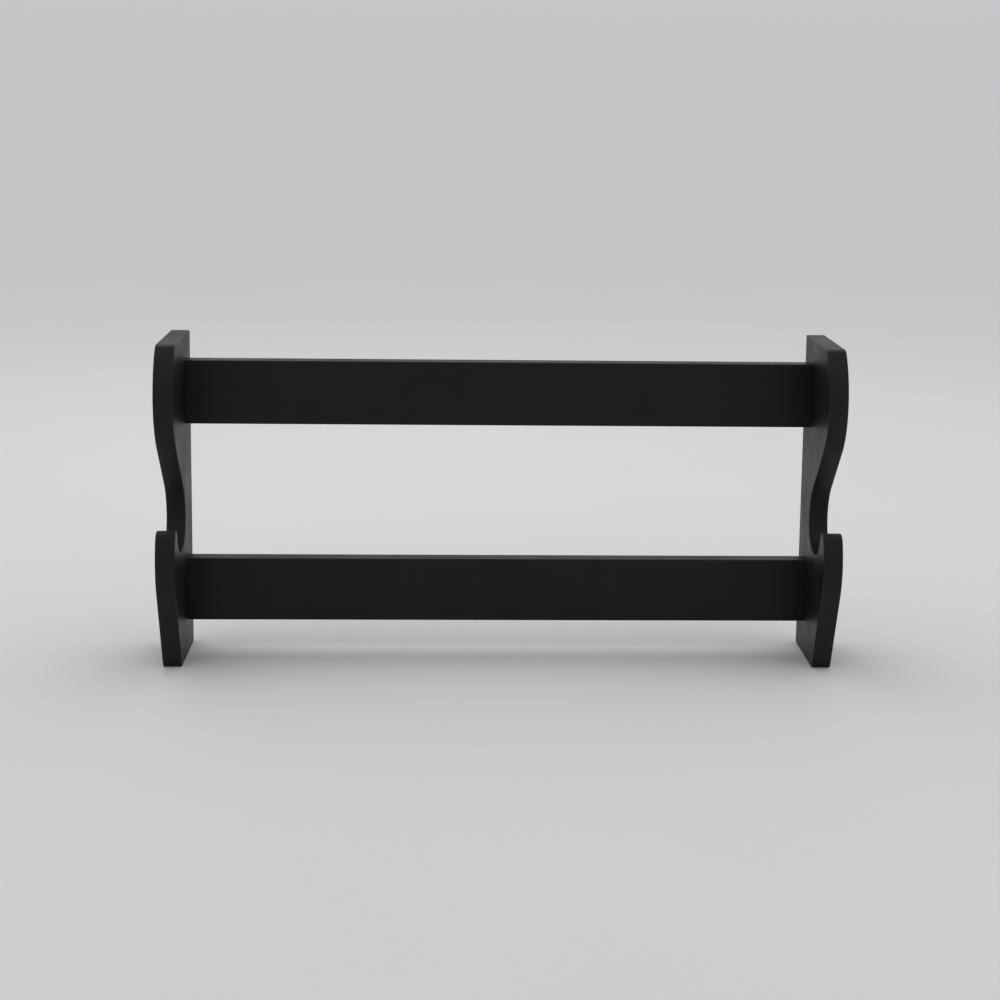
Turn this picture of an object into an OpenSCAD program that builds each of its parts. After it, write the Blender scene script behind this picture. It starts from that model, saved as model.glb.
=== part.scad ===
// Wall rack with one cradle: two shaped end brackets joined by two flat rails.
// The origin is midway between the two keyhole entries, on the outer face of the hanger plates.
// +X runs along the rails, +Y points into the wall, +Z is up.

/* [Overall] */
// Width over the two brackets
rack_w = 420; // [300:5:900]
// Height of a bracket
rack_h = 205; // [196:1:210]
// Thickness of the board that every wooden piece is cut from
board_t = 12; // [11:0.5:18]

/* [Rails] */
// Height of a rail
rail_h = 40.5; // [39:0.5:44]
// Distance from the wall to the back of the rails
rail_gap = 12; // [10:0.5:14]
// Height of the lower rail's bottom edge
lower_rail_z = 21; // [18:0.5:24]
// Height of the upper rail's bottom edge
upper_rail_z = 148.5; // [140:0.5:152]

/* [Bracket outline] */
// Radius of the upper belly
belly_r = 44.5; // [42:0.5:46]
// Distance of the belly's centre from the wall
belly_d = 39; // [37:0.5:41]
// Height of the belly's centre
belly_z = 172.5; // [170:0.5:175]
// Radius of the corner between the belly and the top edge
top_corner_r = 6; // [3:0.5:8]
// Radius of the hollow waist above the cradle
waist_r = 30; // [27:0.5:32]
// Depth of wood left behind the cradle
neck_d = 32; // [30:0.5:34]
// Radius of the round cradle
cradle_r = 19; // [17:0.5:20]
// Height of the cradle's centre
cradle_z = 91; // [89:0.5:93]
// Radius of the prong's tip
prong_r = 6.5; // [5:0.5:7]
// Fall of the prong's tip below the cradle's centre, in degrees
prong_fall = 14; // [10:1:18]
// Radius of the lower belly, in front of the cradle
front_r = 44; // [40:0.5:50]
// Angle at which the prong's tip runs into the lower belly, in degrees
front_turn = 22; // [18:1:26]
// Depth of the flat bottom edge
foot_d = 56; // [52:0.5:60]
// Radius of the corner at the front of the bottom edge
foot_corner_r = 2; // [1:0.5:3]

/* [Joints] */
// Diameter of the joint screws
screw_d = 4; // [3.5:0.5:4.5]
// Length of the joint screws
screw_l = 40; // [30:5:50]
// Diameter of the dowels
dowel_d = 6; // [5:0.5:6]
// Length of the dowels
dowel_l = 24; // [20:1:28]
// Distance of each dowel above or below the screw
dowel_rise = 12; // [10:0.5:13]

/* [Hanger plates] */
// Distance of each keyhole from its end of the rack
hanger_inset = 60; // [56:1:120]
// Width of a hanger plate
plate_w = 16; // [15:0.5:18]
// Height of a hanger plate
plate_h = 36; // [35:0.5:38]
// Thickness of a hanger plate
plate_t = 1.6; // [1.5:0.1:2]
// Diameter of the round entry that a wall screw's head passes
entry_d = 9; // [8:0.5:9]
// Width of the slot that a wall screw's neck slides into
slot_w = 4.6; // [4.2:0.2:5]
// Rise of the slot's closed end above the entry, centre to centre
slot_rise = 7.5; // [6.5:0.5:8]
// Depth of the space behind a plate for a wall screw's head
head_room = 4.6; // [4.2:0.2:5]

/* [Hidden] */
$fn = 64;
// Angular step along the arcs of the bracket's outline, in degrees
ARC_STEP = 4;
// Radial gap round screws and dowels
PLAY = 0.05;
// Gap round a hanger plate in its seat
SEAT_PLAY = 0.2;
// Radial gap round a wall screw's head in its room behind a plate
HEAD_PLAY = 1;
// Free depth past the end of a screw or a dowel
END_PLAY = 0.5;
// How far a cut runs past the surface that it opens
CUT = 1;

// A screw's thread, as shares of its crests' radius: one ridge's length, the core's radius and
// the length at the end that has no ridges
PITCH_SHARE = 1;
CORE_SHARE = 0.7;
SMOOTH_SHARE = 2.5;
// Where a ridge leaves the core and where it peaks, as shares of its length
RIDGE_FOOT = 0.4;
RIDGE_PEAK = 0.7;
// Length of a screw's point, as a share of the core's radius
POINT_SHARE = 1.5;
// A cross recess's length and width, as shares of the head's radius, and its depth, as a share
// of the head's height
RECESS_L = 1.15;
RECESS_W = 0.27;
RECESS_DEPTH = 0.7;

SIDES = ["left", "right"];
LEVELS = ["upper", "lower"];
ENDS = ["top", "bottom"];

rail_l = rack_w - 2 * board_t;
hanger_x = rack_w / 2 - hanger_inset;

// The keyhole's two centres lie the same distance below and above the middle of the plate
keyhole_half = slot_rise / 2;
plate_mid_z = upper_rail_z + rail_h / 2;
entry_z = plate_mid_z - keyhole_half;
head_room_r = entry_d / 2 + HEAD_PLAY;

// The joint screw's head sits just below the bracket's face
screw_sink = 0.3;
screw_head_r = screw_d;

// The small screws in the hanger plates, and how far each is from its end of the plate
plate_screw_d = 3;
plate_screw_l = 9;
plate_screw_head_r = 2.8;
plate_screw_inset = 4.5;
plate_screw_rise = plate_h / 2 - plate_screw_inset;

dowel_in_bracket = 8;
dowel_bevel = 0.8;

function polar(centre, radius, angle) = centre + radius * [cos(angle), sin(angle)];

function heading(v) = atan2(v[1], v[0]);

// Points of an arc from one angle to another, both ends included
function arc(centre, radius, from, to) =
    let (steps = max(2, ceil(abs(to - from) / ARC_STEP)))
    [for (i = [0 : steps]) polar(centre, radius, from + (to - from) * i / steps)];

// The centres of the outline's arcs, as [distance from the wall, height].
// Each arc or straight run is tangent to the next.
belly_c = [belly_d, belly_z];
waist_c = [neck_d + waist_r, cradle_z];
cradle_c = [neck_d + cradle_r, cradle_z];
prong_c = polar(cradle_c, cradle_r + prong_r, -prong_fall);
front_c = polar(prong_c, front_r - prong_r, 180 + front_turn);
foot_corner_c = [foot_d, foot_corner_r];

// The top corner's arc touches the top edge and the inside of the belly
top_corner_z = rack_h - top_corner_r;
top_corner_reach = sqrt(pow(belly_r - top_corner_r, 2) - pow(top_corner_z - belly_z, 2));
top_corner_c = [belly_d + top_corner_reach, top_corner_z];
top_corner_angle = heading(top_corner_c - belly_c);

// The straight run from the belly to the waist crosses between their circles
waist_gap = waist_c - belly_c;
slope_angle = heading(waist_gap) + acos((belly_r + waist_r) / norm(waist_gap));

// The straight run from the lower belly to the foot passes outside both circles
foot_gap = foot_corner_c - front_c;
foot_angle = heading(foot_gap) + acos((front_r - foot_corner_r) / norm(foot_gap));

bracket_outline = concat(
    [[0, 0], [0, rack_h]],
    arc(top_corner_c, top_corner_r, 90, top_corner_angle),
    arc(belly_c, belly_r, top_corner_angle - ARC_STEP, slope_angle),
    arc(waist_c, waist_r, slope_angle + 180, 180),
    arc(cradle_c, cradle_r, 180 + ARC_STEP, 360 - prong_fall),
    arc(prong_c, prong_r, 180 - prong_fall - ARC_STEP, front_turn),
    arc(front_c, front_r, front_turn - ARC_STEP, foot_angle),
    arc(foot_corner_c, foot_corner_r, foot_angle, -90)
);

// Stands the children on the wall: they are drawn with x along the rack, y up from the
// bottom edge and z out from the wall
module from_wall() {
    translate([0, rail_gap, -entry_z]) rotate([90, 0, 0]) children();
}

function rail_z(level) = level == "upper" ? upper_rail_z : lower_rail_z;

// Puts the children at a joint: z = 0 is the bracket's outer face, z points inwards and y up
module at_joint(level, side) {
    inwards = side == "left" ? 1 : -1;
    from_wall()
        translate([-inwards * rack_w / 2, rail_z(level) + rail_h / 2, rail_gap + board_t / 2])
            rotate([0, inwards * 90, 0])
                children();
}

// Puts the children at a hanger plate's middle: z = 0 is the plate's outer face, z points
// away from the wall and y up
module at_hanger(side) {
    outwards = side == "left" ? -1 : 1;
    from_wall() translate([outwards * hanger_x, plate_mid_z, rail_gap]) children();
}

// A screw's shank: sharp ridges round a core, then a point
module ridged_shank(crest_r, length) {
    pitch = PITCH_SHARE * crest_r;
    core_r = CORE_SHARE * crest_r;
    ridges = floor((length - SMOOTH_SHARE * crest_r) / pitch);
    rotate_extrude()
        polygon(concat(
            [[0, 0]],
            [for (i = [0 : ridges - 1]) each [
                [core_r, i * pitch],
                [core_r, (i + RIDGE_FOOT) * pitch],
                [crest_r, (i + RIDGE_PEAK) * pitch]
            ]],
            [[core_r, ridges * pitch], [core_r, length - POINT_SHARE * core_r], [0, length]]
        ));
}

// A countersunk screw with a cross recess, its head's face at z = 0
module wood_screw(d, length, head_r, plain_l) {
    head_h = head_r - d / 2;
    recess = [RECESS_L * head_r, RECESS_W * head_r, RECESS_DEPTH * head_h];
    difference() {
        union() {
            cylinder(h = head_h, r1 = head_r, r2 = d / 2);
            cylinder(h = plain_l, d = d);
            translate([0, 0, plain_l]) ridged_shank(d / 2, length - plain_l);
        }
        for (turn = [0, 90])
            rotate([0, 0, turn])
                translate([-recess[0] / 2, -recess[1] / 2, -CUT])
                    cube([recess[0], recess[1], recess[2] + CUT]);
    }
}

// The cut for a countersunk screw, its head's face at z = 0
module screw_cut(d, length, head_r) {
    hole_r = d / 2 + PLAY;
    mouth_r = head_r + PLAY;
    cylinder(h = length + END_PLAY, r = hole_r);
    cylinder(h = mouth_r - hole_r, r1 = mouth_r, r2 = hole_r);
    translate([0, 0, -CUT]) cylinder(h = CUT, r = mouth_r);
}

module joint_screw() {
    color("#2b2b2e")
        translate([0, 0, screw_sink])
            wood_screw(screw_d, screw_l, screw_head_r, board_t - screw_sink);
}

module dowel() {
    color("#c9a26b")
        rotate_extrude()
            polygon([
                [0, 0],
                [dowel_d / 2 - dowel_bevel, 0],
                [dowel_d / 2, dowel_bevel],
                [dowel_d / 2, dowel_l - dowel_bevel],
                [dowel_d / 2 - dowel_bevel, dowel_l],
                [0, dowel_l]
            ]);
}

// Puts the children at a dowel's end inside the bracket
module at_dowel(end) {
    rise = end == "top" ? dowel_rise : -dowel_rise;
    translate([0, rise, board_t - dowel_in_bracket]) children();
}

// Everything drilled for one joint, through the bracket and into the rail's end
module joint_drilling() {
    translate([0, 0, screw_sink]) screw_cut(screw_d, screw_l, screw_head_r);
    for (end = ENDS)
        at_dowel(end)
            translate([0, 0, -END_PLAY])
                cylinder(h = dowel_l + 2 * END_PLAY, r = dowel_d / 2 + PLAY);
}

module bracket(side) {
    inner_x = side == "left" ? board_t - rack_w / 2 : rack_w / 2;
    color("#1d1d1f")
        difference() {
            from_wall()
                translate([inner_x, 0, 0])
                    rotate([0, -90, 0])
                        linear_extrude(height = board_t) polygon(bracket_outline);
            for (level = LEVELS) at_joint(level, side) joint_drilling();
        }
}

// A plate's outline: straight sides and round ends
module stadium(width, height) {
    for (end = [-1, 1])
        translate([0, end * (height - width) / 2]) circle(d = width);
    square([width, height - width], center = true);
}

// Puts the children at each of a plate's two screws
module at_plate_screw(end) {
    translate([0, end == "top" ? plate_screw_rise : -plate_screw_rise, 0]) children();
}

// What one hanger takes out of the rail: the plate's seat, the wall screw's head room
// behind it and the two screw holes
module hanger_seat() {
    translate([0, 0, -CUT])
        linear_extrude(height = CUT + plate_t)
            stadium(plate_w + 2 * SEAT_PLAY, plate_h + 2 * SEAT_PLAY);
    linear_extrude(height = plate_t + head_room)
        stadium(2 * head_room_r, 2 * head_room_r + slot_rise);
    for (end = ENDS)
        at_plate_screw(end)
            cylinder(h = plate_screw_l + END_PLAY, r = plate_screw_d / 2 + PLAY);
}

module rail(level) {
    color("#19191b")
        difference() {
            from_wall()
                translate([-rail_l / 2, rail_z(level), rail_gap])
                    cube([rail_l, rail_h, board_t]);
            for (side = SIDES) at_joint(level, side) joint_drilling();
            if (level == "upper") for (side = SIDES) at_hanger(side) hanger_seat();
        }
}

module hanger() {
    through = plate_t + 2 * CUT;
    color("#b9bcc0")
        difference() {
            linear_extrude(height = plate_t) stadium(plate_w, plate_h);
            translate([0, 0, -CUT]) {
                translate([0, -keyhole_half, 0]) cylinder(h = through, d = entry_d);
                translate([0, keyhole_half, 0]) cylinder(h = through, d = slot_w);
                translate([-slot_w / 2, -keyhole_half, 0]) cube([slot_w, slot_rise, through]);
            }
            for (end = ENDS)
                at_plate_screw(end) screw_cut(plate_screw_d, plate_t, plate_screw_head_r);
        }
}

module hanger_screw() {
    color("#a9acb0") wood_screw(plate_screw_d, plate_screw_l, plate_screw_head_r, plate_t);
}

for (side = SIDES)
    bracket(side);

for (level = LEVELS)
    rail(level);

for (level = LEVELS, side = SIDES)
    at_joint(level, side) joint_screw();

for (level = LEVELS, side = SIDES, end = ENDS)
    at_joint(level, side) at_dowel(end) dowel();

for (side = SIDES)
    at_hanger(side) hanger();

for (side = SIDES, end = ENDS)
    at_hanger(side) at_plate_screw(end) hanger_screw();
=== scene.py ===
"""The finished look of the wall rack: painted boards, threaded screws, fluted dowels, hanger plates.

Everything is in metres in the part's own frame: +X runs along the rails, +Y points into the wall and +Z
is up. Places and sizes come from the boxes of the CAD nodes.
"""
import math

import bmesh
import bpy
from mathutils import Matrix, Vector


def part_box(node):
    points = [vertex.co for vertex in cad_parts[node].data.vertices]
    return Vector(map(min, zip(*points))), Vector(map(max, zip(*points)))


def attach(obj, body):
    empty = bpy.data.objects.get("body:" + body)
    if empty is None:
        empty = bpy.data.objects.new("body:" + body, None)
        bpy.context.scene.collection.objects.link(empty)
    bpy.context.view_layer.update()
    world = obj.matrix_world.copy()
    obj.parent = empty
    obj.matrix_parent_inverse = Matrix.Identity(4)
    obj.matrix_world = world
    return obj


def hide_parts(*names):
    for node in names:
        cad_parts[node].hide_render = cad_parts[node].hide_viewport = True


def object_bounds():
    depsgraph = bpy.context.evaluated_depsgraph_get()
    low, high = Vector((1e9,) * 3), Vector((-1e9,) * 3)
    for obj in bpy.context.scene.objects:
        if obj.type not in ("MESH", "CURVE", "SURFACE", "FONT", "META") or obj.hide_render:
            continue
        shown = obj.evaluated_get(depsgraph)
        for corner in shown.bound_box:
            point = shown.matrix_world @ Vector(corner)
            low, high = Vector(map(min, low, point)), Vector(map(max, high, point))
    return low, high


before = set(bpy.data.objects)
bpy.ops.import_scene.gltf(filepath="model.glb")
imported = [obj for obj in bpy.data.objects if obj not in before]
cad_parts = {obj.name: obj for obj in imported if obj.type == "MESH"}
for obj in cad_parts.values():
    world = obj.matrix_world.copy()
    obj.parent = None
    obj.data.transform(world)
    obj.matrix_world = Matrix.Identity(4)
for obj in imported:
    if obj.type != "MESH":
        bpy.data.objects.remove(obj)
cad_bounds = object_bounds()

MM = 0.001
X_AXIS = Vector((1, 0, 0))
Y_AXIS = Vector((0, 1, 0))
NEARLY_ALONG = 0.99

# Meshes
WELD = 0.001 * MM
FLAT_WITHIN = math.radians(1)
ROUND_ABOVE = math.radians(30)
SHADE_SHARP_ABOVE = math.radians(38)
ROUND_STEPS = 4

# Boards
BOARD_ROUND = 0.9 * MM
RIM_ROUND = 0.2 * MM
OUTLINE_SPAN = 60 * MM  # more than any hole's mouth
BAND = 1.5 * MM

# Hanger plates
PLATE_ROUND = 0.25 * MM
PLATE_RIM_ROUND = 0.12 * MM

# Screws
RING = 48
JOINT_SHANK_R = 2 * MM
PLATE_SHANK_R = 1.5 * MM
HEAD_RIM = 0.06  # of the head's radius, as are both reaches and the recess's width
RECESS_REACH = 0.56
RECESS_W = 0.25
RECESS_FLOOR_REACH = 0.30
RECESS_FLOOR_W = 0.6  # of the recess's width
RECESS_DEPTH = 0.7  # of the head's height

# Threads
CORE_SHARE = 0.7  # of the shank's radius
PITCH_SHARE = 0.85  # of the crest's radius, as is the point's length
POINT_SHARE = 3.2
TIP_TURNS = 1.1  # turns without a ridge, at the point
RIDGE_FOOT = 0.20  # half the ridge's width at its foot, of the pitch
RIDGE_CREST = 0.03  # the same at its crest

# Dowels
FLUTES = 16
FLUTE_STEPS = 6
FLUTE_DEPTH = 0.18 * MM
DOWEL_BEVEL = 0.8 * MM

# Paint: colours, features to the metre, and heights (H)
BRACKET_BLACK = (0.0102, 0.0102, 0.0112)
RAIL_BLACK = (0.0080, 0.0080, 0.0086)
PAINT_SPECULAR = 0.35
SMUDGES = 26
# patches along the rounded edges, where the paint is lightened as rubbed wear and painted highlight
EDGE_SPOTS = 140
PEEL = 620
PEEL_H = 0.035 * MM
FIBRES = 900
FIBRE_H = 0.022 * MM
GRIT = 3400
GRIT_H = 0.004 * MM
NIBS = 240
NIB_H = 0.03 * MM

# Steel, in the same order
OXIDE_BLUE = (0.026, 0.026, 0.030)
OXIDE_BROWN = (0.050, 0.044, 0.040)
OXIDE_RUBBED = (0.20, 0.20, 0.21)
OXIDE_CLOUDS = 420
OXIDE_GRAIN = 5000
OXIDE_GRAIN_H = 0.004 * MM
ZINC_DARK = (0.50, 0.51, 0.53)
ZINC_PALE = (0.66, 0.67, 0.69)
ZINC_TARNISHED = (0.44, 0.43, 0.40)
ZINC_RUBBED = (0.78, 0.79, 0.80)
ZINC_TARNISH = 170
ZINC_SCRATCHES = 4200
ZINC_SCRATCH_H = 0.003 * MM

# Beech, in the same order
BEECH_DARK = (0.56, 0.36, 0.20)
BEECH_PALE = (0.70, 0.50, 0.30)
BEECH_FIBRE = (0.48, 0.30, 0.17)
BEECH_FLECK = (0.34, 0.19, 0.10)
BEECH_BANDS = 900
BEECH_FIBRES = 4200
BEECH_FIBRE_H = 0.03 * MM
BEECH_FLECKS = 1500

# Camera
LENS_MM = 70.52
CAMERA_PLACE = Vector((-0.0350, -1.2350, 0.2034))
CAMERA_YAW = 2.218
CAMERA_PITCH = -8.848
CAMERA_ROLL = 0.745
CAMERA_SHIFT = (-0.02, -0.12)

# Stage
FLOOR_R = 40
FLOOR_GAP = 0.02 * MM
FLOOR_SIDES = 96
FLOOR_DARK = (0.79, 0.79, 0.78)
FLOOR_PALE = (0.81, 0.81, 0.80)
FLOOR_CLOUDS = 6
HORIZON = (0.60, 0.605, 0.615)
ZENITH_GAIN = 1.375
LAMP_FROM_MIDDLE = Vector((-0.1, 0.6, 1.1))
LAMP_SIZE = 1.2
LAMP_WATTS = 3
VIEW_GAMMA = 0.85


# ---------------------------------------------------------------- materials


def add(tree, kind, inputs=(), **settings):
    """Adds a node. inputs maps a socket's name or number to a value or to another node's output."""
    node = tree.nodes.new("ShaderNode" + kind)
    for key, value in settings.items():
        setattr(node, key, value)
    for key, value in dict(inputs).items():
        if isinstance(value, bpy.types.NodeSocket):
            tree.links.new(value, node.inputs[key])
        else:
            node.inputs[key].default_value = value
    return node


def new_material(name):
    """A material with one Principled shader; returns the material, its tree and the shader."""
    material = bpy.data.materials.new(name)
    material.use_nodes = True
    tree = material.node_tree
    tree.nodes.clear()
    shader = add(tree, "BsdfPrincipled")
    add(tree, "OutputMaterial", {"Surface": shader.outputs["BSDF"]})
    return material, tree, shader


def place(tree, stretch=(1, 1, 1)):
    """The point on the surface, in metres, with each axis scaled."""
    point = add(tree, "TexCoord").outputs["Object"]
    if stretch == (1, 1, 1):
        return point
    return add(tree, "VectorMath", {0: point, 1: stretch}, operation="MULTIPLY").outputs["Vector"]


def noise(tree, point, per_metre, detail=2.0, rough=0.5):
    """Smooth noise from 0 to 1 with so many features to the metre."""
    inputs = {"Vector": point, "Scale": per_metre, "Detail": detail, "Roughness": rough}
    return add(tree, "TexNoise", inputs).outputs["Fac"]


def remap(tree, value, from_low, from_high, low, high):
    """value's range from_low..from_high becomes low..high, and is clamped there."""
    inputs = {
        "Value": value, "From Min": from_low, "From Max": from_high, "To Min": low, "To Max": high
    }
    return add(tree, "MapRange", inputs).outputs["Result"]


def calc(tree, operation, a, b):
    """What one Math node makes of a and b."""
    return add(tree, "Math", {0: a, 1: b}, operation=operation).outputs["Value"]


def mix_colour(tree, factor, a, b):
    """Colour a at factor 0, colour b at factor 1."""
    colours = {"Factor": factor, 6: rgba(a), 7: rgba(b)}
    return add(tree, "Mix", colours, data_type="RGBA").outputs[2]


def rgba(colour):
    """The colour with an alpha of 1; a node's output stays as it is."""
    return colour if isinstance(colour, bpy.types.NodeSocket) else (*colour, 1)


def bump(tree, height, depth, under=None):
    """A bump depth metres high where height is 1, on top of the bump under."""
    inputs = {"Height": height, "Distance": depth, "Strength": 1.0}
    if under is not None:
        inputs["Normal"] = under
    return add(tree, "Bump", inputs).outputs["Normal"]


def drive(tree, shader, inputs):
    """Feeds the shader's sockets from nodes, or sets them where the value is the same all over."""
    for key, value in inputs.items():
        if isinstance(value, bpy.types.NodeSocket):
            tree.links.new(value, shader.inputs[key])
        else:
            shader.inputs[key].default_value = value


def satin_paint(name, colour, grain):
    """Black satin paint on board: orange peel, fine grit, wood grain that shows through faintly along
    the axis that grain squeezes, smudges, a few dust nibs and rounded edges lightened in colour: rubbed
    wear and a painted highlight."""
    material, tree, shader = new_material(name)
    point = place(tree)
    smudges = remap(tree, noise(tree, point, SMUDGES, detail=6, rough=0.62), 0.34, 0.66, 0.0, 1.0)
    peel = noise(tree, point, PEEL, detail=1.5)
    grit = noise(tree, point, GRIT, detail=2, rough=0.6)
    fibres = noise(tree, place(tree, grain), FIBRES, detail=5, rough=0.62)
    specks = add(tree, "TexVoronoi", {"Vector": point, "Scale": NIBS}, feature="F1")
    picked = add(tree, "SeparateColor", {0: specks.outputs["Color"]}).outputs[0]
    nib = calc(tree, "MULTIPLY", remap(tree, specks.outputs["Distance"], 0.0, 0.08, 1.0, 0.0),
               remap(tree, picked, 0.86, 0.87, 0.0, 1.0))

    eased_edge = add(tree, "Attribute", attribute_name="eased_edge").outputs["Fac"]
    patches = remap(tree, noise(tree, point, EDGE_SPOTS, detail=4, rough=0.65), 0.42, 0.60, 0.10, 1.0)
    edge_patches = calc(tree, "MULTIPLY", eased_edge, patches)

    shade = mix_colour(tree, smudges, [0.75 * c for c in colour], [1.3 * c for c in colour])
    # the rounded edges go lighter, towards 2.6 times the black: rubbed wear and a painted highlight
    shade = mix_colour(tree, calc(tree, "MULTIPLY", edge_patches, 0.6), shade, [2.6 * c for c in colour])
    dull = remap(tree, smudges, 0.0, 1.0, 0.37, 0.49)
    dull = calc(tree, "ADD", dull, remap(tree, grit, 0.3, 0.7, -0.04, 0.04))
    dull = calc(tree, "ADD", dull, remap(tree, fibres, 0.35, 0.65, -0.03, 0.03))
    dull = calc(tree, "SUBTRACT", dull, calc(tree, "MULTIPLY", edge_patches, 0.12))
    relief = bump(tree, peel, PEEL_H)
    relief = bump(tree, fibres, FIBRE_H, relief)
    relief = bump(tree, grit, GRIT_H, relief)
    relief = bump(tree, nib, NIB_H, relief)
    drive(tree, shader, {
        "Base Color": shade, "Roughness": dull, "Normal": relief, "Specular IOR Level": PAINT_SPECULAR
    })
    return material


def black_oxide(name):
    """Blackened steel with a slightly brown cast and bright, rubbed edges."""
    material, tree, shader = new_material(name)
    point = place(tree)
    cloud = noise(tree, point, OXIDE_CLOUDS, detail=4, rough=0.6)
    grain = noise(tree, point, OXIDE_GRAIN, detail=1)
    eased_edge = add(tree, "Attribute", attribute_name="eased_edge").outputs["Fac"]
    edge_patches = calc(tree, "MULTIPLY", eased_edge, remap(tree, cloud, 0.40, 0.60, 0.1, 0.8))
    shade = mix_colour(tree, remap(tree, cloud, 0.3, 0.7, 0.0, 1.0), OXIDE_BLUE, OXIDE_BROWN)
    shade = mix_colour(tree, edge_patches, shade, OXIDE_RUBBED)
    dull = calc(tree, "SUBTRACT", remap(tree, cloud, 0.3, 0.7, 0.34, 0.48),
                calc(tree, "MULTIPLY", edge_patches, 0.12))
    drive(tree, shader, {
        "Base Color": shade, "Roughness": dull, "Metallic": 1.0,
        "Normal": bump(tree, grain, OXIDE_GRAIN_H),
    })
    return material


def zinc(name, crystals, contrast):
    """Zinc-plated steel: so many crystals to the metre, fine scratches, a little tarnish and brighter
    edges. contrast is how much one crystal differs from the next."""
    material, tree, shader = new_material(name)
    point = place(tree)
    cells = add(tree, "TexVoronoi", {"Vector": point, "Scale": crystals}, feature="F1")
    crystal = add(tree, "SeparateColor", {0: cells.outputs["Color"]}).outputs[0]
    crystal = remap(tree, crystal, 0.0, 1.0, 0.5 - contrast / 2, 0.5 + contrast / 2)
    tarnish = remap(tree, noise(tree, point, ZINC_TARNISH, detail=4, rough=0.6), 0.45, 0.75, 0.0, 0.5)
    scratches = noise(tree, place(tree, (1, 1, 0.05)), ZINC_SCRATCHES, detail=2)
    eased_edge = add(tree, "Attribute", attribute_name="eased_edge").outputs["Fac"]
    shade = mix_colour(tree, crystal, ZINC_DARK, ZINC_PALE)
    shade = mix_colour(tree, tarnish, shade, ZINC_TARNISHED)
    shade = mix_colour(tree, calc(tree, "MULTIPLY", eased_edge, 0.6), shade, ZINC_RUBBED)
    dull = calc(tree, "ADD", remap(tree, crystal, 0.0, 1.0, 0.27, 0.38),
                remap(tree, scratches, 0.35, 0.65, -0.05, 0.06))
    drive(tree, shader, {
        "Base Color": shade, "Roughness": dull, "Metallic": 1.0,
        "Normal": bump(tree, scratches, ZINC_SCRATCH_H),
    })
    return material


def beech(name):
    """Raw beech with its grain along X: pale bands, short dark flecks and open pores."""
    material, tree, shader = new_material(name)
    bands = noise(tree, place(tree, (0.05, 1, 1)), BEECH_BANDS, detail=3, rough=0.55)
    fibres = noise(tree, place(tree, (0.03, 1, 1)), BEECH_FIBRES, detail=2)
    squeezed = place(tree, (0.22, 1, 1))
    flecks = add(tree, "TexVoronoi", {"Vector": squeezed, "Scale": BEECH_FLECKS}, feature="F1")
    fleck = remap(tree, flecks.outputs["Distance"], 0.10, 0.28, 1.0, 0.0)
    shade = mix_colour(tree, remap(tree, bands, 0.3, 0.7, 0.0, 1.0), BEECH_DARK, BEECH_PALE)
    shade = mix_colour(tree, remap(tree, fibres, 0.3, 0.7, 0.0, 0.35), shade, BEECH_FIBRE)
    shade = mix_colour(tree, calc(tree, "MULTIPLY", fleck, 0.5), shade, BEECH_FLECK)
    drive(tree, shader, {
        "Base Color": shade, "Roughness": remap(tree, fibres, 0.3, 0.7, 0.58, 0.76),
        "Normal": bump(tree, fibres, BEECH_FIBRE_H),
    })
    return material


# ---------------------------------------------------------------- geometry


def finish_piece(name, bm, material, node):
    """Makes a mesh piece that stands for a CAD node and rides on its body."""
    mesh = bpy.data.meshes.new(name)
    bmesh.ops.remove_doubles(bm, verts=bm.verts, dist=WELD)
    bmesh.ops.recalc_face_normals(bm, faces=bm.faces)
    bm.to_mesh(mesh)
    bm.free()
    mesh.shade_smooth()
    mesh.set_sharp_from_angle(angle=SHADE_SHARP_ABOVE)
    mesh.materials.append(material)
    piece = bpy.data.objects.new(name, mesh)
    bpy.context.scene.collection.objects.link(piece)
    piece.modifiers.new("weighted_normals", "WEIGHTED_NORMAL").keep_sharp = True
    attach(piece, "root")
    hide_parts(node)
    return piece


def whole_faces(node):
    """A bmesh copy of a CAD node, closed along its seams and with each flat face in one piece."""
    bm = bmesh.new()
    bm.from_mesh(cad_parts[node].data)
    bmesh.ops.remove_doubles(bm, verts=bm.verts, dist=WELD)
    bmesh.ops.dissolve_limit(bm, angle_limit=FLAT_WITHIN, verts=bm.verts, edges=bm.edges)
    return bm


def sharp_groups(bm):
    """The outward sharp edges, in groups that touch each other: one round each hole's mouth and one
    round the outline."""
    left = dict.fromkeys(e for e in bm.edges if e.calc_face_angle_signed() > ROUND_ABOVE)
    groups = []
    while left:
        group = [left.popitem()[0]]
        for edge in group:
            touching = [e for v in edge.verts for e in v.link_edges if e in left]
            group += dict.fromkeys(touching)
            for e in touching:
                left.pop(e, None)
        groups.append(group)
    return groups


def span(edges):
    """The longest side of the edges' box."""
    points = [v.co for e in edges for v in e.verts]
    return max(max(p[i] for p in points) - min(p[i] for p in points) for i in range(3))


def band_flats(bm):
    """Lays a narrow band inside the border of each flat face that looks along X, so that the rounding
    cuts into clean faces of even width."""
    flats = [f for f in bm.faces if abs(f.normal.x) > NEARLY_ALONG]
    bmesh.ops.inset_region(bm, faces=flats, thickness=BAND, use_even_offset=True, use_boundary=True)


def round_edges(bm, edges, radius):
    """Rounds the edges and marks the rounded surface, which the materials lighten: on the paint that is
    rubbed wear and a painted highlight.
    """
    eased_edge = bm.verts.layers.float.get("eased_edge") or bm.verts.layers.float.new("eased_edge")
    made = bmesh.ops.bevel(
        bm, geom=list(edges), offset=radius, offset_type="OFFSET", segments=ROUND_STEPS,
        profile=0.5, affect="EDGES", clamp_overlap=True, loop_slide=True,
    )
    rounded = set(made["faces"])
    for v in made["verts"]:
        if all(f in rounded for f in v.link_faces):
            v[eased_edge] = 1


def runs_along(edge, axis):
    """True for an edge that is parallel to the axis."""
    direction = (edge.verts[1].co - edge.verts[0].co).normalized()
    return abs(direction.dot(axis)) > NEARLY_ALONG


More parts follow.
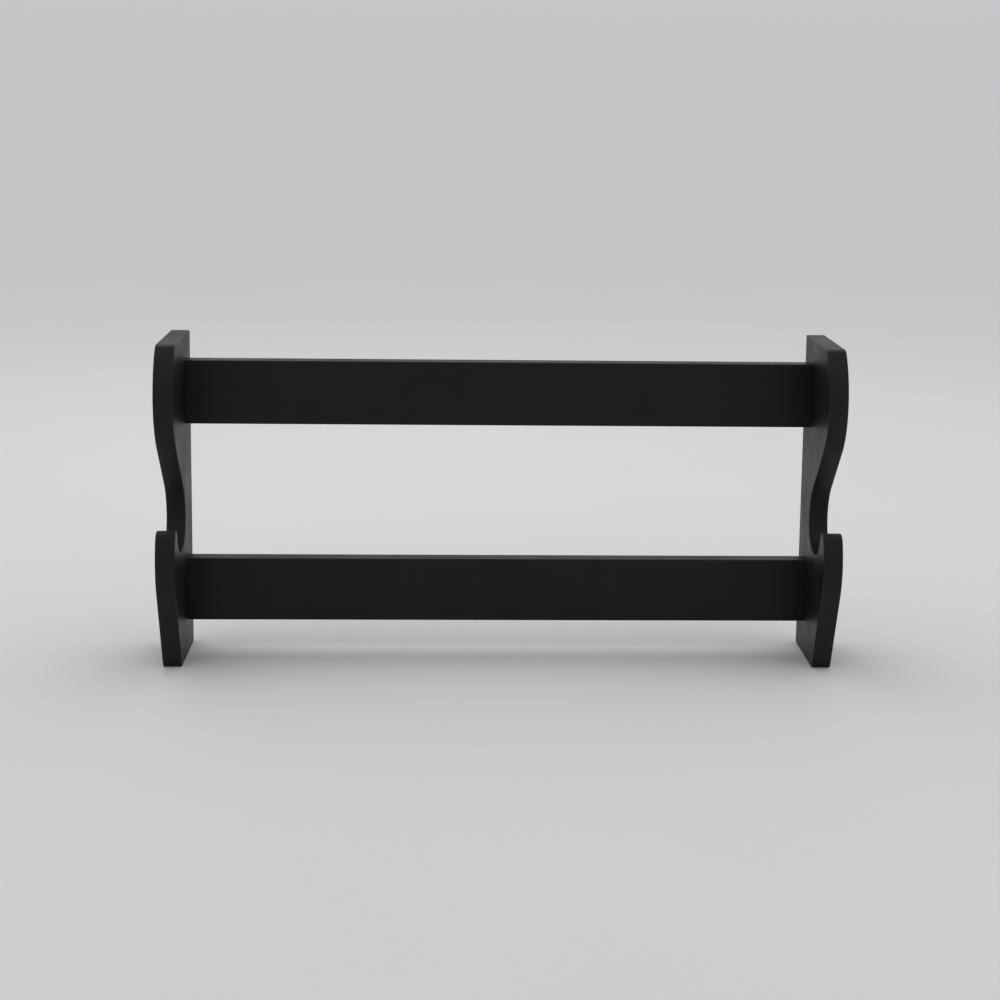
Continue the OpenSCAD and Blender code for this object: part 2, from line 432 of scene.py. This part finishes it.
def board(node, material, ends_square):
    """A painted board: its outline rounded, and the rims of its holes eased. A rail's ends stay square,
    because they butt against the brackets."""
    bm = whole_faces(node)
    if not ends_square:
        band_flats(bm)
    for edges in sharp_groups(bm):
        outline = span(edges) > OUTLINE_SPAN
        if outline and ends_square:
            edges = [e for e in edges if runs_along(e, X_AXIS)]
        round_edges(bm, edges, BOARD_ROUND if outline else RIM_ROUND)
    return finish_piece("painted_" + node, bm, material, node)


def hanger_plate(node, material):
    """A stamped keyhole plate with its rims eased."""
    bm = whole_faces(node)
    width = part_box(node)[1].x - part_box(node)[0].x
    for edges in sharp_groups(bm):
        round_edges(bm, edges, PLATE_ROUND if span(edges) > width else PLATE_RIM_ROUND)
    return finish_piece("stamped_" + node, bm, material, node)


def along(node, direction):
    """Stands local +Z on a CAD node's box along direction, a unit vector: returns that matrix, the
    box's length along it and half its width."""
    low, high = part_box(node)
    size = high - low
    length = abs(size.dot(direction))
    start = (low + high) / 2 - direction * length / 2
    half = (size - length * Vector([abs(c) for c in direction])).length / math.sqrt(8)
    turn = direction.to_track_quat("Z", "Y").to_matrix().to_4x4()
    return Matrix.Translation(start) @ turn, length, half


def ring(bm, radius, z, count=RING):
    """Vertices round the Z axis; radius is a number or a function of the angle."""
    turn = 2 * math.pi / count
    radii = [radius(i * turn) if callable(radius) else radius for i in range(count)]
    return [bm.verts.new((r * math.cos(i * turn), r * math.sin(i * turn), z))
            for i, r in enumerate(radii)]


def skin(bm, lower, upper):
    """Faces between two closed loops of as many vertices."""
    for i, v in enumerate(lower):
        after = (i + 1) % len(lower)
        bm.faces.new((v, lower[after], upper[after], upper[i]))


def cross_outline(bm, reach, width, z):
    """A cross recess's outline at one depth: four wings with eased ends and rounded inner corners."""
    loop = []
    for quarter in range(4):
        turn = Matrix.Rotation(quarter * math.pi / 2, 3, "Z")
        inner = 0.75 * width
        wing = [
            (reach - 0.25 * width, -0.5 * width), (reach, -0.25 * width), (reach, 0.25 * width),
            (reach - 0.25 * width, 0.5 * width), (1.3 * inner, 0.5 * width + 0.05 * inner),
            (inner, inner), (0.5 * width + 0.05 * inner, 1.3 * inner),
        ]
        loop += [bm.verts.new(turn @ Vector((x, y, z))) for x, y in wing]
    return loop


def thread(bm, first, crest_r, core_r, z_from, z_to):
    """A helical thread that starts from the ring first and runs out in a point at z_to. Its surface is
    one strip of faces that winds round the core, each turn sharing its edge with the next."""
    profile = [(0.0, 0.0), (0.5 - RIDGE_FOOT, 0.0), (0.5 - RIDGE_CREST, 1.0),
               (0.5 + RIDGE_CREST, 1.0), (0.5 + RIDGE_FOOT, 0.0)]
    pitch = PITCH_SHARE * crest_r
    steps = int(((z_to - z_from) / pitch - TIP_TURNS) * RING)
    taper_l = POINT_SHARE * crest_r

    def vertex(step, part):
        """The profile's point part, so many steps along the winding."""
        share, height = profile[part]
        z = z_from + pitch * (step / RING + share)
        height *= min(1.0, step / RING, 2 * (steps - step) / RING)
        taper = min(1.0, math.sqrt(max(z_to - z, 0.0) / taper_l))
        radius = taper * (core_r + (crest_r - core_r) * height)
        angle = 2 * math.pi * step / RING
        return bm.verts.new((radius * math.cos(angle), radius * math.sin(angle), z))

    rows = [[vertex(s, p) for p in range(len(profile))] for s in range(steps + 1)]
    last = [vertex(steps + s, 0) for s in range(1, RING + 1)]

    def turn_end(step):
        """The vertex where the strip meets its next turn."""
        ahead = step + RING
        return rows[ahead][0] if ahead <= steps else last[ahead - steps - 1]

    for s in range(steps):
        here = rows[s] + [turn_end(s)]
        there = rows[s + 1] + [turn_end(s + 1)]
        for p in range(len(profile)):
            bm.faces.new((here[p], there[p], there[p + 1], here[p + 1]))
    for s in range(RING - 1):
        bm.faces.new((first[s], first[s + 1], rows[s + 1][0], rows[s][0]))
    bm.faces.new([first[-1], first[0]] + rows[0] + [rows[RING][0], rows[RING - 1][0]])
    tip = bm.verts.new((0, 0, z_to))
    rim = [rows[steps][0]] + last
    for a, b in zip(rim[:-1], rim[1:]):
        bm.faces.new((a, b, tip))
    bm.faces.new(rows[steps] + [last[-1], tip])


def wood_screw(node, direction, shank_r, plain_l, material):
    """A countersunk cross-recess screw with a helical thread, in the box of its CAD node."""
    stand, length, head_r = along(node, direction)
    head_h = head_r - shank_r
    rim = HEAD_RIM * head_r
    bm = bmesh.new()
    eased_edge = bm.verts.layers.float.new("eased_edge")
    core_r = CORE_SHARE * shank_r
    shape = [
        (head_r - 1.6 * rim, 0.0), (head_r - 0.9 * rim, 0.25 * rim), (head_r - 0.75 * rim, 0.7 * rim),
        (shank_r + 0.3 * rim, head_h - 0.2 * rim), (shank_r, head_h + 0.4 * rim),
        (shank_r, plain_l), (core_r, plain_l + 0.6 * (shank_r - core_r)),
    ]
    rings = [ring(bm, r, z) for r, z in shape]
    for lower, upper in zip(rings[:-1], rings[1:]):
        skin(bm, lower, upper)
    thread(bm, rings[-1], shank_r, core_r, shape[-1][1], length)

    reach = RECESS_REACH * head_r
    width = RECESS_W * head_r
    mouth = cross_outline(bm, reach + 0.3 * rim, width + 0.5 * rim, 0.0)
    wall = cross_outline(bm, reach, width, 0.3 * rim)
    floor = cross_outline(
        bm, RECESS_FLOOR_REACH * head_r, RECESS_FLOOR_W * width, RECESS_DEPTH * head_h
    )
    skin(bm, wall, mouth)
    skin(bm, floor, wall)
    bm.faces.new(floor)
    edges = [
        bm.edges.get((loop[i - 1], loop[i])) for loop in (rings[0], mouth) for i in range(len(loop))
    ]
    bmesh.ops.triangle_fill(bm, use_beauty=True, use_dissolve=False, edges=edges)
    for v in rings[0] + rings[1] + mouth:
        v[eased_edge] = 1
    bm.transform(stand)
    return finish_piece("threaded_" + node, bm, material, node)


def fluted_dowel(node, material):
    """A beech dowel with pressed glue flutes and bevelled ends."""
    stand, length, radius = along(node, X_AXIS)

    def fluted(ridge_r):
        """A fluted outline whose ridges have the radius ridge_r."""
        def at(angle):
            """The outline's radius at an angle."""
            return ridge_r - FLUTE_DEPTH * (0.5 + 0.5 * math.cos(FLUTES * angle)) ** 2
        return at

    bm = bmesh.new()
    shape = [(radius - DOWEL_BEVEL, 0), (radius, DOWEL_BEVEL), (radius, length - DOWEL_BEVEL),
             (radius - DOWEL_BEVEL, length)]
    rings = [ring(bm, fluted(r), z, FLUTES * FLUTE_STEPS) for r, z in shape]
    for lower, upper in zip(rings[:-1], rings[1:]):
        skin(bm, lower, upper)
    bm.faces.new(rings[0])
    bm.faces.new(rings[-1])
    bm.transform(stand)
    return finish_piece("fluted_" + node, bm, material, node)


# ---------------------------------------------------------------- the rack

bracket_paint = satin_paint("black_board", BRACKET_BLACK, grain=(1, 1, 0.03))
rail_paint = satin_paint("black_rail", RAIL_BLACK, grain=(0.03, 1, 1))
oxide = black_oxide("black_screw")
plate_zinc = zinc("zinc_plate", crystals=650.0, contrast=0.8)
screw_zinc = zinc("zinc_screw", crystals=4000.0, contrast=0.3)
raw_beech = beech("beech")

# Each side's direction towards the middle of the rack
sides = {"left": X_AXIS, "right": -X_AXIS}
for side in sides:
    board(side + "_bracket", bracket_paint, ends_square=False)
    hanger_plate(side + "_hanger", plate_zinc)
    plate_low, plate_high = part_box(side + "_hanger")
    for end in ("top", "bottom"):
        wood_screw(f"{side}_hanger_{end}_screw", -Y_AXIS, PLATE_SHANK_R, plate_high.y - plate_low.y,
                   screw_zinc)
for level in ("upper", "lower"):
    board(level + "_rail", rail_paint, ends_square=True)
    for side, inwards in sides.items():
        joint = f"{level}_{side}"
        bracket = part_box(side + "_bracket")
        head_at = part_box(joint + "_screw")[0 if side == "left" else 1].x
        face_at = bracket[1 if side == "left" else 0].x
        wood_screw(joint + "_screw", inwards, JOINT_SHANK_R, abs(face_at - head_at),
                   oxide)
        for end in ("top", "bottom"):
            fluted_dowel(f"{joint}_{end}_dowel", raw_beech)


# ---------------------------------------------------------------- stage, light and camera


def pale_floor():
    """A round floor under the rack, far larger than the view."""
    low, high = cad_bounds
    bm = bmesh.new()
    bmesh.ops.create_circle(bm, cap_ends=True, segments=FLOOR_SIDES, radius=FLOOR_R)
    mesh = bpy.data.meshes.new("floor")
    bm.to_mesh(mesh)
    bm.free()
    floor = bpy.data.objects.new("floor", mesh)
    floor.location = ((low.x + high.x) / 2, (low.y + high.y) / 2, low.z - FLOOR_GAP)
    bpy.context.scene.collection.objects.link(floor)
    material, tree, shader = new_material("floor")
    grain = noise(tree, place(tree), FLOOR_CLOUDS, detail=3)
    drive(tree, shader, {
        "Base Color": mix_colour(tree, grain, FLOOR_DARK, FLOOR_PALE),
        "Roughness": 0.9, "Specular IOR Level": 0.1,
    })
    mesh.materials.append(material)


def pale_room():
    """An even pale surround that is a little brighter overhead, so that a far floor meets it."""
    world = bpy.data.worlds.new("room")
    world.use_nodes = True
    bpy.context.scene.world = world
    tree = world.node_tree
    tree.nodes.clear()
    height = add(tree, "SeparateXYZ", {0: add(tree, "TexCoord").outputs["Generated"]}).outputs["Z"]
    light = mix_colour(tree, remap(tree, height, 0.0, 1.0, 0.0, 1.0), HORIZON,
                       [ZENITH_GAIN * c for c in HORIZON])
    background = add(tree, "Background", {"Color": light, "Strength": 1.0})
    add(tree, "OutputWorld", {"Surface": background.outputs[0]})


def soft_box(name, place_at, aim_at, size, watts):
    """A square studio lamp."""
    lamp = bpy.data.lights.new(name, "AREA")
    lamp.shape = "SQUARE"
    lamp.size = size
    lamp.energy = watts
    light = bpy.data.objects.new(name, lamp)
    light.location = place_at
    light.rotation_euler = (Vector(aim_at) - Vector(place_at)).to_track_quat("-Z", "Y").to_euler()
    bpy.context.scene.collection.objects.link(light)


def photo_camera():
    """A camera that looks at the rack from the front, a little from above."""
    data = bpy.data.cameras.new("camera")
    data.lens = LENS_MM
    data.shift_x, data.shift_y = CAMERA_SHIFT
    camera = bpy.data.objects.new("camera", data)
    turn = [math.radians(a) for a in (-CAMERA_YAW, 90 + CAMERA_PITCH, CAMERA_ROLL)]
    camera.matrix_world = (
        Matrix.Translation(CAMERA_PLACE) @ Matrix.Rotation(turn[0], 4, "Z")
        @ Matrix.Rotation(turn[1], 4, "X") @ Matrix.Rotation(turn[2], 4, "Z")
    )
    bpy.context.scene.collection.objects.link(camera)
    bpy.context.scene.camera = camera


pale_floor()
pale_room()
middle = (cad_bounds[0] + cad_bounds[1]) / 2
soft_box("overhead", middle + LAMP_FROM_MIDDLE, middle, LAMP_SIZE, LAMP_WATTS)
photo_camera()
bpy.context.scene.view_settings.view_transform = "Standard"
bpy.context.scene.view_settings.gamma = VIEW_GAMMA
